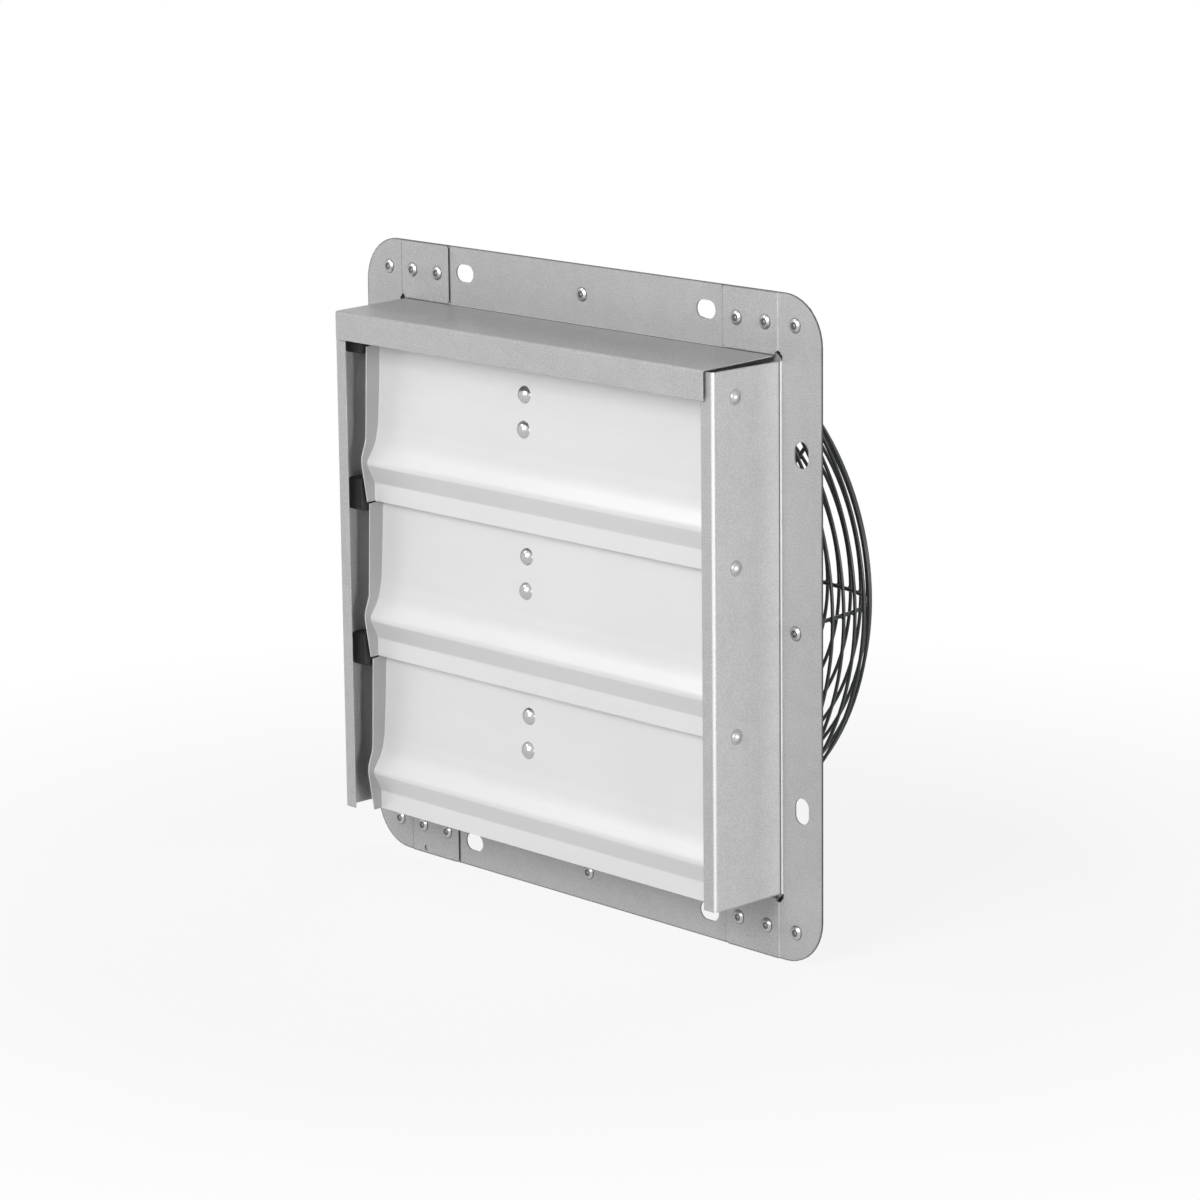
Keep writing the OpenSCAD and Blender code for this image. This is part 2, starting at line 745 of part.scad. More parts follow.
module shutter_blade(i) {
    face = [for (share = blade_shares) blade_point(share)];
    front = [for (share = blade_end_shares) blade_point(share)];
    radii = [for (share = blade_bend_shares) share * blade_crown];
    color(blade_white) at_pivot(i) difference() {
        union() {
            along_x(2 * blade_x) polygon(sheet_section(face, radii, 0, blade_t, bend_step));
            for (side = [0, 1]) mirror([side, 0, 0])
                translate([blade_x - blade_t, 0, 0]) rotate([90, 0, 90]) linear_extrude(blade_t)
                    polygon(concat(sheet_face(face, radii, blade_t / 2, bend_step), reversed(front)));
        }
        for (side = [0, 1]) mirror([side, 0, 0])
            bar_x(blade_x - blade_t - over, pivot_back, 0, hinge_pin_d / 2 + seat_fit, blade_t + 2 * over);
        for (s = link_rivet_shares) translate([-link_x, 0, 0]) blade_normal(s)
            translate([0, 0, -blade_crown]) cylinder(r = rivet_d / 2 + hole_fit, h = 2 * blade_crown);
    }
}

// Turns Z to point into the blade, square to its face, at a share of its height
module blade_normal(s) {
    p = blade_point([s, blade_reach(s)]);
    translate([0, p[0], p[1]]) rotate([-90 - blade_slope(s), 0, 0]) children();
}

// The two pins of a blade, headed inside its folded ends
module hinge_pins(i) {
    head = 0.7 * hinge_pin_d;
    color(chrome) at_pivot(i) for (side = [0, 1]) mirror([side, 0, 0]) {
        bar_x(blade_x - blade_t - hinge_pin_d / 4, pivot_back, 0, hinge_pin_d / 2, hinge_pin_seat + blade_t);
        bar_x(blade_x - blade_t - hinge_pin_d / 4 - seat_fit, pivot_back, 0, head, hinge_pin_d / 4);
    }
}

// Linkage

// Place on the back of the blade, one sheet and half a bracket in from its front face
function bracket_point(s) =
    let(p = blade_point([s, blade_reach(s)]))
    [p[0] + blade_t + bracket_t / 2 + seat_fit, p[1]];

module link_bracket(i) {
    foot = [for (s = bracket_shares) bracket_point(s)];
    eye = [link_reach, link_rise];
    top = heading(foot[0], eye);
    low = heading(foot[2], eye);
    slack = i == 0 ? run_fit : link_slack;
    color(steel_dark) at_pivot(i) difference() {
        union() {
            translate([-link_x + bracket_t / 2, 0, 0]) along_x(bracket_w + bracket_t)
                polygon(sheet_section(foot, [bracket_w], -bracket_t / 2, bracket_t / 2, bend_step));
            translate([ear_x, 0, 0]) rotate([90, 0, 90]) linear_extrude(bracket_t) {
                polygon([
                    foot[0], foot[1], foot[2],
                    eye + turned(low, -90) * eye_r, eye + turned(top, 90) * eye_r
                ]);
                translate(eye) circle(eye_r);
            }
        }
        bar_x(ear_x - over, eye[0], eye[1], link_pin_d / 2 + slack, bracket_t + 2 * over);
        for (s = link_rivet_shares) translate([-link_x, 0, 0]) blade_normal(s)
            cylinder(r = rivet_d / 2 + hole_fit, h = blade_crown);
    }
}

module link_rivets(i) {
    grip = blade_t + bracket_t + seat_fit;
    color(chrome) at_pivot(i) for (s = link_rivet_shares) translate([-link_x, 0, 0]) blade_normal(s) {
        dome_rivet(blade_rivet_d / 2, rivet_d / 2, grip + seat_fit);
        translate([0, 0, grip + seat_fit]) cylinder(r = 0.8 * rivet_d, h = 0.3 * rivet_d);
    }
}

module tie_bar() {
    top = pivot_z[0] + link_rise;
    bottom = pivot_z[2] + link_rise;
    color(steel) translate([tie_x, eye_y, 0]) rotate([90, 0, 90]) linear_extrude(tie_t) difference() {
        union() {
            translate([-tie_w / 2, bottom]) square([tie_w, top - bottom]);
            for (z = [top, bottom]) translate([0, z]) circle(tie_w / 2);
        }
        for (z = pivot_z) translate([0, z + link_rise]) circle(link_pin_d / 2 + seat_fit);
    }
}

// Pins fixed in the tie bar, headed beyond it and beyond the bracket ears
module tie_bar_pins() {
    grip_a = ear_x - side_gap;
    grip_b = tie_x + tie_t + seat_fit;
    color(chrome) for (z = pivot_z) {
        bar_x(grip_a - link_head_h, eye_y, z + link_rise, link_head_d / 2, link_head_h);
        bar_x(grip_a - link_head_h, eye_y, z + link_rise, link_pin_d / 2, grip_b - grip_a + 2 * link_head_h);
        bar_x(grip_b, eye_y, z + link_rise, link_head_d / 2, link_head_h);
    }
}

// Guard

// Radius and depth of the spoke line at a length along it, with the angle of its outward side
function spoke_at(s) =
    s < side_len ? [guard_foot_r - s * sin(side_a), guard_foot_y + s * cos(side_a), side_a] :
    s < side_len + arc_len ?
        let(a = side_a + (s - side_len) / guard_bend_r * 180 / PI)
        [arc_r + guard_bend_r * cos(a), arc_y + guard_bend_r * sin(a), a] :
        let(d = s - side_len - arc_len + guard_tangent)
        [guard_shoulder_r - d * cos(back_a), guard_shoulder_y + d * sin(back_a), 90 - back_a];

// One straight length of wire between two places given by radius and depth
module wire_run(a, b) {
    translate([a[0], 0, a[1]]) rotate([0, atan2(b[0] - a[0], b[1] - a[1]), 0])
        cylinder(r = spoke_r, h = norm(b - a));
}

// One bend of wire about a centre, drawn a little thinner than the straight runs that it laps into
module wire_bend(centre_r, centre_y, radius, start, turn) {
    lap = guard_lap / radius * 180 / PI;
    translate([centre_r, 0, centre_y]) rotate([90, 0, 0]) rotate([0, 0, start - lap])
        rotate_extrude(angle = turn + 2 * lap) translate([radius, 0]) circle(spoke_r - guard_thinning);
}

module spoke() {
    bend_start = spoke_at(side_len);
    bend_end = spoke_at(side_len + arc_len);
    flat_start = [guard_flat_r + flat_tangent * cos(back_a), guard_depth - flat_tangent * sin(back_a)];
    flat_end = [guard_flat_r - flat_tangent, guard_depth];
    wire_run([guard_foot_r, guard_foot_y], [bend_start[0], bend_start[1]]);
    wire_bend(arc_r, arc_y, guard_bend_r, side_a, guard_turn);
    wire_run([bend_end[0], bend_end[1]], flat_start);
    wire_bend(flat_end[0], guard_depth - guard_flat_bend_r, guard_flat_bend_r, 90 - back_a, back_a);
    wire_run(flat_end, [guard_inner_r, guard_depth]);
}

module guard_spokes() {
    color(guard_black) to_back()
        for (i = [0 : spoke_count - 1]) rotate([0, 0, i * 360 / spoke_count]) spoke();
}

// Ring at a length along the spokes, set off outwards from their line
module guard_ring(s, set) {
    p = spoke_at(s);
    translate([0, 0, p[1] + set * sin(p[2])])
        rotate_extrude($fn = 128) translate([p[0] + set * cos(p[2]), 0]) circle(ring_r);
}

// The foot ring inside the spokes, and the rings outside them on the guard's side
module guard_side_rings() {
    color(guard_black) to_back() {
        guard_ring(foot_ring_s, -ring_set);
        for (s = ring_line) if (s < side_line) guard_ring(s, ring_set);
    }
}

module guard_rings() {
    color(guard_black) to_back() for (s = ring_line) if (s >= side_line) guard_ring(s, ring_set);
}

// Saddle clips that hold the foot ring on the fan panel
module guard_clips() {
    ring = spoke_at(foot_ring_s);
    middle = ring[0] - ring_set * cos(ring[2]);
    flat_y = panel_back + clip_t / 2;
    reach = ring_r + clip_gap + clip_t / 2;
    over_y = foot_ring_y + reach;
    color(guard_black) for (a = clip_angles) rotate([0, a, 0]) difference() {
        linear_extrude(clip_w, center = true) polygon(sheet_section(
            [
                [screw_r + screw_head_d / 2, flat_y], [middle + reach + clip_t, flat_y],
                [middle + reach, over_y], [middle - reach, over_y], [middle - reach, flat_y]
            ],
            [clip_t, clip_t, clip_t], -clip_t / 2, clip_t / 2, fold_step
        ));
        bar_y(screw_r, panel_back - over, 0, screw_d / 2 + hole_fit, clip_t + 2 * over);
    }
}

module guard_screws() {
    seat = panel_back + clip_t;
    color(chrome) for (a = clip_angles) rotate([0, a, 0]) {
        bar_y(screw_r, seat - screw_len, 0, screw_d / 2, screw_len);
        difference() {
            translate([screw_r, seat, 0]) to_back() intersection() {
                cylinder(d = screw_head_d, h = screw_head_h);
                translate([0, 0, screw_head_h - screw_head_d * 0.7]) sphere(screw_head_d * 0.7);
            }
            for (turn = [0, 90]) translate([screw_r, seat + screw_head_h, 0]) rotate([0, turn, 0])
                cube([screw_head_d / 2, screw_head_h, screw_d / 5], center = true);
        }
    }
}

// Motor

// Ring about the axis along Y between two radii, from a depth on
module ring_y(y, outer, inner, h) {
    translate([0, y, 0]) to_back() difference() {
        cylinder(r = outer, h = h, $fn = 96);
        translate([0, 0, -over]) cylinder(r = inner, h = h + 2 * over, $fn = 96);
    }
}

module bolt_holes(y, h) {
    for (a = bolt_angles) rotate([0, a, 0]) bar_y(bolt_circle, y, 0, bolt_d / 2 + hole_fit, h);
}

module motor_plate() {
    color(guard_black) difference() {
        ring_y(plate_front, motor_plate_d / 2, bearing_r, motor_plate_t);
        bolt_holes(plate_front - over, motor_plate_t + 2 * over);
    }
}

// Closed cup behind the core, with the seat of the rear bearing
module motor_rear_cover() {
    inner_end = plate_front - cover_t;
    color(motor_black) difference() {
        union() {
            to_back() rotate_extrude($fn = 96) polygon([
                [0, inner_end], [bearing_r + seat_fit, inner_end], [bearing_r + seat_fit, rear_bearing_y],
                [housing_r, rear_bearing_y], [housing_r, inner_end], [cover_r - 2 * cover_t, inner_end],
                [cover_r - cover_t, inner_end - cover_t], [cover_r - cover_t, core_back],
                [cover_r, core_back], [cover_r, plate_front - cover_t],
                [cover_r - cover_t, plate_front], [0, plate_front]
            ]);
            for (a = bolt_angles) rotate([0, a, 0])
                bar_y(bolt_circle - bolt_d / 4, core_back, 0, bolt_lug / 2, rear_cover_len - cover_t / 2);
        }
        bolt_holes(core_back - over, rear_cover_len + 2 * over);
        translate([0, gland_y(), -cover_r - over])
            cylinder(r = gland_r / 2 + hole_fit, h = 2 * cover_t + over);
    }
}

// Depth of the cable gland, midway along the rear cover
function gland_y() = core_back + rear_cover_len / 2;

// Domed cover in front of the core, with the seat of the front bearing
module motor_front_cover() {
    hole = shaft_r + cover_t / 2;
    color(motor_black) difference() {
        union() {
            to_back() rotate_extrude($fn = 96) polygon([
                [hole, cover_front], [housing_r, cover_front], [housing_r, cover_front + cover_t],
                [cover_r - 2 * cover_t, front_wall_y - cover_t], [cover_r, front_wall_y],
                [cover_r, core_front], [cover_r - cover_t, core_front],
                [cover_r - cover_t, front_wall_y + cover_t / 2],
                [housing_r, front_bearing_y + bearing_w / 2], [housing_r, front_bearing_y + bearing_w],
                [bearing_r + seat_fit, front_bearing_y + bearing_w],
                [bearing_r + seat_fit, front_bearing_y], [hole, front_bearing_y]
            ]);
            for (a = bolt_angles) rotate([0, a, 0])
                bar_y(bolt_circle - bolt_d / 4, bolt_front, 0, bolt_lug / 2, core_front - bolt_front);
        }
        bolt_holes(bolt_front - over, core_front - bolt_front + 2 * over);
    }
}

module stator_core() {
    color(lamination) difference() {
        ring_y(core_front, motor_r, stator_bore, core_len);
        bolt_holes(core_front - over, core_len + 2 * over);
        for (i = [0 : coil_count - 1]) rotate([0, i * 360 / coil_count, 0])
            bar_y(coil_circle, core_front - over, 0, coil_r + seat_fit, core_len + 2 * over);
    }
}

// Windings: a bar through each slot of the core and a wound ring at each end
module stator_coils() {
    chamfer = coil_rise / 4;
    color(copper) {
        for (i = [0 : coil_count - 1]) rotate([0, i * 360 / coil_count, 0])
            bar_y(
                coil_circle, core_front - side_gap - coil_rise / 2, 0, coil_r,
                core_len + 2 * side_gap + coil_rise
            );
        for (y = [core_front - side_gap - coil_rise, core_back + side_gap])
            to_back() rotate_extrude($fn = 96) polygon([
                [coil_in + chamfer, y], [coil_in + 2 * coil_r - chamfer, y],
                [coil_in + 2 * coil_r, y + chamfer], [coil_in + 2 * coil_r, y + coil_rise - chamfer],
                [coil_in + 2 * coil_r - chamfer, y + coil_rise], [coil_in + chamfer, y + coil_rise],
                [coil_in, y + coil_rise - chamfer], [coil_in, y + chamfer]
            ]);
    }
}

module motor_bolts() {
    color(chrome) for (a = bolt_angles) rotate([0, a, 0]) {
        bar_y(bolt_circle, bolt_front - bolt_head_h, 0, bolt_head_d / 2, bolt_head_h);
        bar_y(
            bolt_circle, bolt_front - bolt_head_h / 2, 0, bolt_d / 2,
            plate_back + nut_h + bolt_d / 2 - bolt_front
        );
    }
}

module motor_nuts() {
    color(chrome) for (a = bolt_angles) rotate([0, a, 0]) translate([bolt_circle, plate_back, 0]) to_back()
        difference() {
            cylinder(d = nut_w / cos(30), h = nut_h, $fn = 6);
            translate([0, 0, -over]) cylinder(r = bolt_d / 2 + seat_fit, h = nut_h + 2 * over);
        }
}

// Gland for the supply cable, screwed into the underside of the rear cover
module cable_gland() {
    y = gland_y();
    color(nylon) difference() {
        translate([0, y, -cover_r - gland_len]) union() {
            cylinder(r1 = 0.55 * gland_r, r2 = 0.85 * gland_r, h = 0.35 * gland_len);
            translate([0, 0, 0.3 * gland_len]) cylinder(r = 0.85 * gland_r, h = 0.4 * gland_len);
            translate([0, 0, 0.65 * gland_len])
                cylinder(r = gland_r, h = 0.35 * gland_len - seat_fit, $fn = 6);
            cylinder(r = gland_r / 2, h = gland_len + cover_t);
        }
        translate([0, y, -cover_r - gland_len - over])
            cylinder(r = 0.3 * gland_r, h = gland_len + cover_t + 2 * over);
    }
}

// Ball bearing with a groove between its rings on each face
module bearing(y) {
    mid = (bearing_r + shaft_r) / 2;
    groove = bearing_w / 10;
    color(chrome) difference() {
        ring_y(y, bearing_r, shaft_r + run_fit, bearing_w);
        for (face = [y - over, y + bearing_w - groove])
            ring_y(face, mid + 2 * groove, mid - 2 * groove, groove + over);
    }
}

module bearing_front() {
    bearing(front_bearing_y);
}

module bearing_rear() {
    bearing(rear_bearing_y);
}

// Turning parts

module rotor_core() {
    start = core_front + (core_len - rotor_len) / 2;
    color(lamination) ring_y(start, rotor_r, shaft_r + seat_fit, rotor_len);
}

module motor_shaft() {
    tail = rear_bearing_y + bearing_w;
    color(chrome) bar_y(0, shaft_front, 0, shaft_r, tail - shaft_front);
}

// Sheet of the fan blade's camber, shifted off the blade by a depth, inside an outline in X and Z
module cambered(shift, t) {
    intersection() {
        translate([0, fan_y, 0]) rotate([fan_pitch_angle, 0, 0])
            translate([0, camber_r, 0]) rotate([0, 90, 0]) difference() {
                cylinder(r = camber_r - shift, h = tip_r, $fn = 128);
                translate([0, 0, -over])
                    cylinder(r = camber_r - shift - t, h = tip_r + 2 * over, $fn = 128);
            }
        plate(fan_y - tip_r / 2, tip_r) children();
    }
}

module fan_blade_outline() {
    widths = [for (share = fan_width_shares) share * tip_r / 2];
    widest = fan_widest_share * tip_r;
    corner = [fan_corner_r / 2, fan_corner_r, fan_corner_r, fan_corner_r];
    intersection() {
        circle(tip_r, $fn = 128);
        polygon(rounded(
            [
                [fan_root_r, -widths[0]], [widest, -widths[1]], [tip_r, -widths[2]],
                [tip_r, widths[2]], [widest, widths[1]], [fan_root_r, widths[0]]
            ],
            [corner[0], corner[1], corner[2], corner[2], corner[1], corner[0]]
        ));
    }
}

// Turns the parts of one fan blade to its place
module at_fan_blade(i) {
    rotate([0, -fan_angles[i], 0]) children();
}

module fan_rivet_places() {
    translate([0, fan_y, 0]) rotate([fan_pitch_angle, 0, 0])
        for (r = fan_rivet_r) translate([r, 0, 0]) to_back() children();
}

module fan_blade(i) {
    color(aluminium) at_fan_blade(i) difference() {
        cambered(0, fan_t) fan_blade_outline();
        fan_rivet_places() translate([0, 0, -over])
            cylinder(r = fan_rivet_d / 2 + hole_fit, h = fan_t + 2 * over);
    }
}

module fan_hub() {
    color(aluminium) difference() {
        union() {
            ring_y(fan_y - hub_len / 2, hub_d / 2, shaft_r + seat_fit, hub_len);
            for (i = [0 : 3]) at_fan_blade(i) cambered(fan_t + seat_fit, arm_t) difference() {
                union() {
                    translate([shaft_r, -arm_w / 2]) square([arm_reach - arm_w / 2 - shaft_r, arm_w]);
                    translate([arm_reach - arm_w / 2, 0]) circle(arm_w / 2);
                }
                circle(hub_d / 4);
            }
        }
        for (i = [0 : 3]) at_fan_blade(i) fan_rivet_places()
            cylinder(r = fan_rivet_d / 2 + hole_fit, h = fan_t + arm_t + over);
        hub_bores();
    }
}

// Bore of the hub and the thread hole of its set screw
module hub_bores() {
    bar_y(0, fan_y - hub_len / 2 - over, 0, shaft_r + seat_fit, hub_len + 2 * over);
    translate([0, hub_screw_y(), 0]) cylinder(r = hub_screw_d / 2 + hole_fit, h = hub_d);
}

// Depth of the set screw, near the motor end of the hub
function hub_screw_y() = fan_y + hub_len / 2 - hub_screw_d;

module hub_screw() {
    length = hub_d / 2 - shaft_r;
    color(motor_black) translate([0, hub_screw_y(), shaft_r + seat_fit]) difference() {
        cylinder(r = hub_screw_d / 2, h = length);
        translate([0, 0, length / 2]) cylinder(r = hub_screw_d / 4, h = length, $fn = 6);
    }
}

module fan_rivets() {
    grip = fan_t + arm_t + 4 * seat_fit;
    color(chrome) for (i = [0 : 3]) at_fan_blade(i) fan_rivet_places() {
        translate([0, 0, -fan_rivet_head_h]) intersection() {
            cylinder(d = fan_rivet_head_d, h = fan_rivet_head_h);
            translate([0, 0, fan_rivet_head_d]) sphere(fan_rivet_head_d);
        }
        translate([0, 0, -fan_rivet_head_h / 2]) cylinder(d = fan_rivet_d, h = grip + fan_rivet_head_h);
        translate([0, 0, grip]) cylinder(d = 0.8 * fan_rivet_head_d, h = fan_rivet_head_h / 2);
    }
}

side_channel_left();
side_channel_right();
hood_panel();
sill_panel();
fan_panel();
corner_rivets();
panel_rivets();
pivot_rivets();
pivot_block_left(0);  // pivot_block_left_top
pivot_block_left(1);  // pivot_block_left_middle
pivot_block_left(2);  // pivot_block_left_bottom
pivot_block_right(0);  // pivot_block_right_top
pivot_block_right(1);  // pivot_block_right_middle
pivot_block_right(2);  // pivot_block_right_bottom
shutter_blade(0);  // blade_top
shutter_blade(1);  // blade_middle
shutter_blade(2);  // blade_bottom
hinge_pins(0);  // hinge_pins_top
hinge_pins(1);  // hinge_pins_middle
hinge_pins(2);  // hinge_pins_bottom
link_bracket(0);  // link_bracket_top
link_bracket(1);  // link_bracket_middle
link_bracket(2);  // link_bracket_bottom
link_rivets(0);  // link_rivets_top
link_rivets(1);  // link_rivets_middle
link_rivets(2);  // link_rivets_bottom
tie_bar();
tie_bar_pins();
guard_spokes();
guard_side_rings();
guard_rings();
guard_clips();
guard_screws();
motor_plate();
motor_rear_cover();
motor_front_cover();
stator_core();
stator_coils();
motor_bolts();
motor_nuts();
cable_gland();
bearing_front();
bearing_rear();
rotor_core();
motor_shaft();
fan_hub();
hub_screw();
fan_blade(0);  // fan_blade_1
fan_blade(1);  // fan_blade_2
fan_blade(2);  // fan_blade_3
fan_blade(3);  // fan_blade_4
fan_rivets();
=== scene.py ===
"""Looks of a wall exhaust fan with a gravity louvre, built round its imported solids. Metres throughout."""

import math

import bmesh
import bpy
from mathutils import Matrix, Vector


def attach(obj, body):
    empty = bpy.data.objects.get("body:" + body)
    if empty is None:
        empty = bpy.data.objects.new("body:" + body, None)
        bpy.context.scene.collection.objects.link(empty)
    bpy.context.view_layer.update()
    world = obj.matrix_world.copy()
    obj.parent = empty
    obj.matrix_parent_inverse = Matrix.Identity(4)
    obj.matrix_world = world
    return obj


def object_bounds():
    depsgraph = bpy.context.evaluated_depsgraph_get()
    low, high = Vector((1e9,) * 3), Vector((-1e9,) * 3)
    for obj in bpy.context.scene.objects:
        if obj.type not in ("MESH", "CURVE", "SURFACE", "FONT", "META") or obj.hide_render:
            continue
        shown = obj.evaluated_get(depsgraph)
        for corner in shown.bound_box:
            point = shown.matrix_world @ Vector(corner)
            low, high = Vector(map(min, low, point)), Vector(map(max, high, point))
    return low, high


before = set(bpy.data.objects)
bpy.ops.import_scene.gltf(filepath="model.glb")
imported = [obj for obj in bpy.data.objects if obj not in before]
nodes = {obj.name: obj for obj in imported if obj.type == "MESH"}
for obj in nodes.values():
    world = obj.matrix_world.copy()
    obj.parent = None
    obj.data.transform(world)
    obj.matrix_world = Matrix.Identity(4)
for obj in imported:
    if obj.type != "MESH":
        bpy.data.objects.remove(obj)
solid_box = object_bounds()
mm = 0.001


# Camera

def place_camera():
    """A long lens, right of the louvre and a little above it."""
    turn, rise, roll = (math.radians(a) for a in (47.3860, 11.3026, -0.7817))
    away, aside, above = 2.44687, -0.02104, 0.05714
    back = Vector((math.sin(turn) * math.cos(rise), -math.cos(turn) * math.cos(rise), math.sin(rise)))
    level = (-back).cross(Vector((0, 0, 1))).normalized()
    upward = level.cross(-back)
    right = level * math.cos(roll) + upward * math.sin(roll)
    up = upward * math.cos(roll) - level * math.sin(roll)
    camera = bpy.data.objects.new("camera", bpy.data.cameras.new("camera"))
    bpy.context.scene.collection.objects.link(camera)
    camera.data.sensor_width = 36
    camera.data.lens = 126.043
    camera.data.shift_x, camera.data.shift_y = 0.04345, -0.09194
    camera.data.clip_start, camera.data.clip_end = 0.05, 60
    spot = back * away + level * aside + upward * above
    turned = Matrix((right, up, back)).transposed().to_4x4()
    camera.matrix_world = Matrix.Translation(spot) @ turned
    bpy.context.scene.camera = camera


# Shader maths

class Link:
    """An output socket that takes part in sums; each sum adds its Math node."""

    def __init__(self, tree, socket):
        self.tree, self.socket = tree, socket

    def maths(self, operation, *values):
        return self.tree.add("ShaderNodeMath", {"operation": operation}, dict(enumerate(values)))

    def __add__(self, other):
        return self.maths("ADD", self, other)

    def __sub__(self, other):
        return self.maths("SUBTRACT", self, other)

    def __rsub__(self, other):
        return self.maths("SUBTRACT", other, self)

    def __mul__(self, other):
        return self.maths("MULTIPLY", self, other)

    def __truediv__(self, other):
        return self.maths("DIVIDE", self, other)

    def __pow__(self, other):
        return self.maths("POWER", self, other)

    __radd__, __rmul__ = __add__, __mul__

    def clamped(self):
        return self.maths("MINIMUM", self.maths("MAXIMUM", self, 0.0), 1.0)

    def size(self):
        return self.maths("ABSOLUTE", self)

    def least(self, other):
        return self.maths("MINIMUM", self, other)

    def most(self, other):
        return self.maths("MAXIMUM", self, other)

    def above(self, low, high):
        """0 below low, 1 above high, straight between."""
        return ((self - low) / (high - low)).clamped()

    def beside(self, place, inner, outer):
        """1 within inner of a place, 0 beyond outer."""
        return 1 - (self - place).size().above(inner, outer)


class Tree:
    """A node tree being filled. add() makes one node: settings first, then sockets by name or number."""

    def __init__(self, owner):
        owner.use_nodes = True
        self.nodes, self.links = owner.node_tree.nodes, owner.node_tree.links
        self.nodes.clear()

    def add(self, kind, settings=None, sockets=None, output=0):
        node = self.nodes.new(kind)
        for name, value in (settings or {}).items():
            if name == "stops":
                ramp = node.color_ramp.elements
                while len(ramp) < len(value):
                    ramp.new(0.5)
                for element, (where, colour) in zip(ramp, value):
                    element.position, element.color = where, colour
            else:
                setattr(node, name, value)
        for name, value in (sockets or {}).items():
            if isinstance(value, Link):
                self.links.new(value.socket, node.inputs[name])
            else:
                node.inputs[name].default_value = value
        return Link(self, node.outputs[output]) if len(node.outputs) else node

    def noise(self, place, scale, detail=2.0, roughness=0.5):
        return self.add("ShaderNodeTexNoise", {}, {
            "Vector": place, "Scale": scale, "Detail": detail, "Roughness": roughness}, "Fac")

    def stretched(self, place, x=1.0, y=1.0, z=1.0):
        return self.add("ShaderNodeVectorMath", {"operation": "MULTIPLY"}, {0: place, 1: (x, y, z)})

    def parts(self, vector):
        """The X, Y and Z of a vector."""
        split = self.add("ShaderNodeSeparateXYZ", {}, {0: vector}).socket.node
        return [Link(self, output) for output in split.outputs]

    def toned(self, colour, tone):
        """A colour made lighter or darker by a factor."""
        return self.add("ShaderNodeVectorMath", {"operation": "SCALE"}, {0: colour[:3], "Scale": tone})

    def mixed(self, factor, first, second):
        """A colour between two colours."""
        return self.add("ShaderNodeMix", {"data_type": "RGBA"}, {0: factor, 6: first, 7: second}, 2)


def grey(level, warm=0.0):
    """A grey that leans a little to warm or cold."""
    return (level * (1 + warm), level, level * (1 - warm), 1.0)


class Finish(Tree):
    """A material: a Principled shader and the ways in which it varies over the surface."""

    def __init__(self, name, **constants):
        self.material = bpy.data.materials.new(name)
        super().__init__(self.material)
        shader = self.add("ShaderNodeBsdfPrincipled", {}, {
            name.replace("_", " "): value for name, value in constants.items()})
        self.shader = shader.socket.node
        self.add("ShaderNodeOutputMaterial", {}, {"Surface": shader})
        self.place = self.add("ShaderNodeTexCoord", {}, {}, "Object")
        self.flat = self.add("ShaderNodeNewGeometry", {}, {}, "Normal")
        self.normal = None

    def feed(self, **sockets):
        for name, value in sockets.items():
            self.links.new(value.socket, self.shader.inputs[name.replace("_", " ")])

    def rounded(self, radius, samples=6):
        """The normal of edges that are rounded off by a radius."""
        self.normal = self.add("ShaderNodeBevel", {"samples": samples}, {"Radius": radius})
        self.feed(Normal=self.normal)

    def edge(self, low=0.02, high=0.25):
        """1 on edges that rounded() has rounded, 0 on flats."""
        along = self.add("ShaderNodeVectorMath", {"operation": "DOT_PRODUCT"}, {
            0: self.normal, 1: self.flat}, "Value")
        return (1 - along).above(low, high)

    def bumped(self, height, distance, strength=1.0):
        sockets = {"Height": height, "Distance": distance, "Strength": strength}
        if self.normal is not None:
            sockets["Normal"] = self.normal
        self.normal = self.add("ShaderNodeBump", {}, sockets)
        self.feed(Normal=self.normal)


# Finishes

# Places on the casing in millimetres, the same as in the solids
TAB_EDGE, CREASE, SHADED_STRIP, SEAM_EDGE = 114.45, 156.9, 158.0, 155.0
CHANNEL_END, CORNER_CENTRE, RIM_START = 151.75, 162, 27.1
FLANGE_FACE, WEB_BACK = 1.6, -2
RELIEF_HOLE = (155.6, 153.6)
SHEET = 0.8
LAMINATION = 0.5 * mm
# Pivot rivets in the webs, back and up
PIVOT_PLACES = ((-35.5, 136.3), (-35.5, 41.0), (-35.5, -54.3))
# Rivets of the flange in one quarter of it, across and up
TAB_RIVETS = (147.5, 125.3)
RIVET_PLACES = ((169.7, 172.4), (147.5, 172.4), (125.3, 172.4), (169.7, 0), (0, 172.4))


def near(x, z, places):
    """Distance from the nearest of several places, in a plane."""
    least = None
    for across, up in places:
        away = ((x - across * mm) ** 2 + (z - up * mm) ** 2) ** 0.5
        least = away if least is None else least.least(away)
    return least


